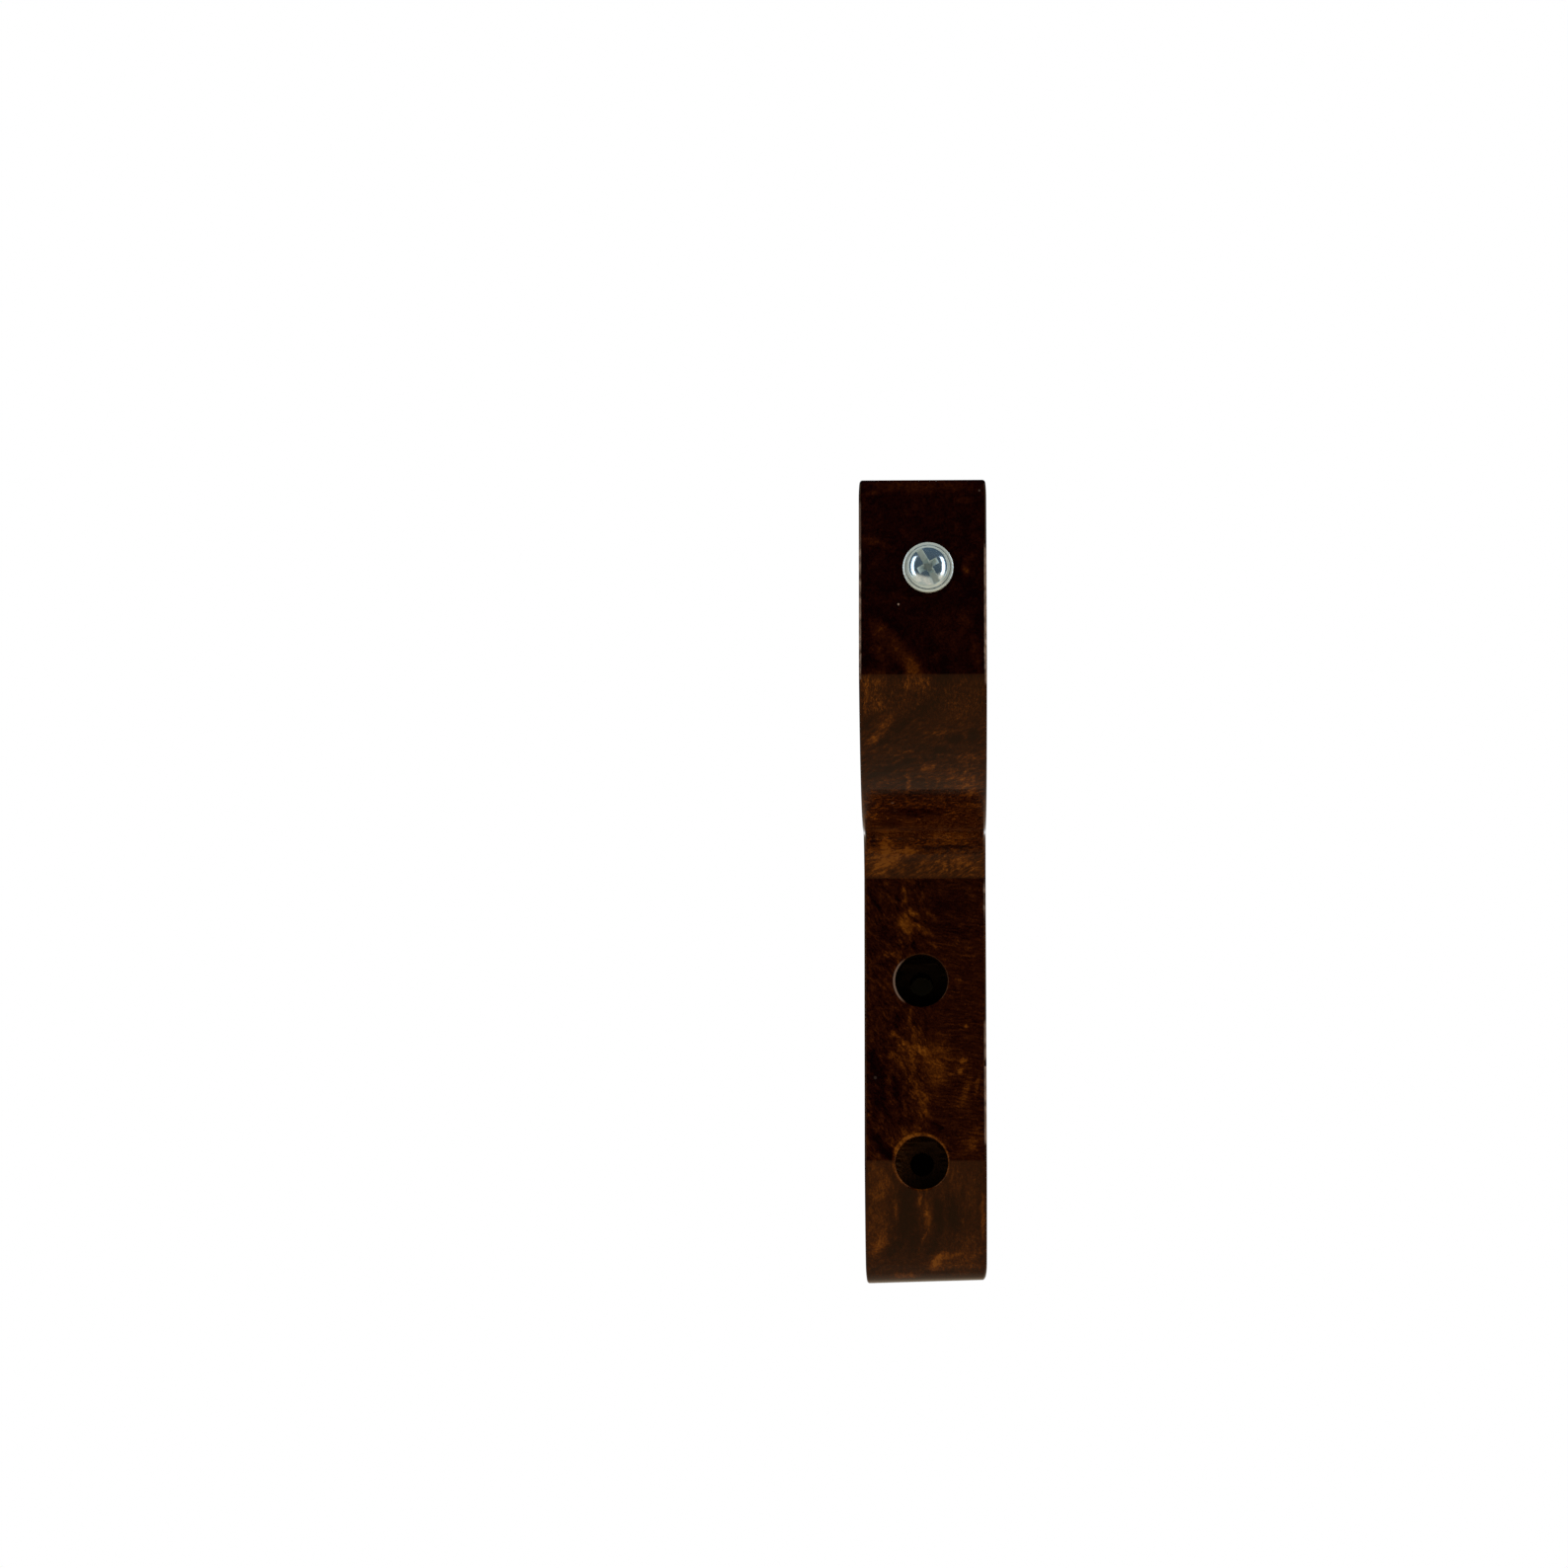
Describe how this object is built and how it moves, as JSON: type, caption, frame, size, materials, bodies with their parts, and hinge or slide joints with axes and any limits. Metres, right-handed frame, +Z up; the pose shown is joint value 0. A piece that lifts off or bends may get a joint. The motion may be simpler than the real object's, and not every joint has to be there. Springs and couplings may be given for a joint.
{
  "type": "curtain pole bracket",
  "caption": "Wooden wall bracket with an S-shaped underside: a bore across its head carries a curtain pole, held by a screw through the front, and counterbored holes fix it to a wall.",
  "frame": {"origin": "on the wall face, midway between the two wall-screw holes", "axes": "+Z up, -Y to the front, away from the wall, +X along the pole, to the right of someone who faces the wall"},
  "size_m": [0.0233, 0.075, 0.1434],
  "materials": {
    "arm_wood": "gloss lacquer",
    "screw_zinc": "bright blue-white zinc plating"
  },
  "bodies": {
    "root": {"bracket_arm": "arm_wood", "pole_screw": "screw_zinc"}
  },
  "joints": []
}
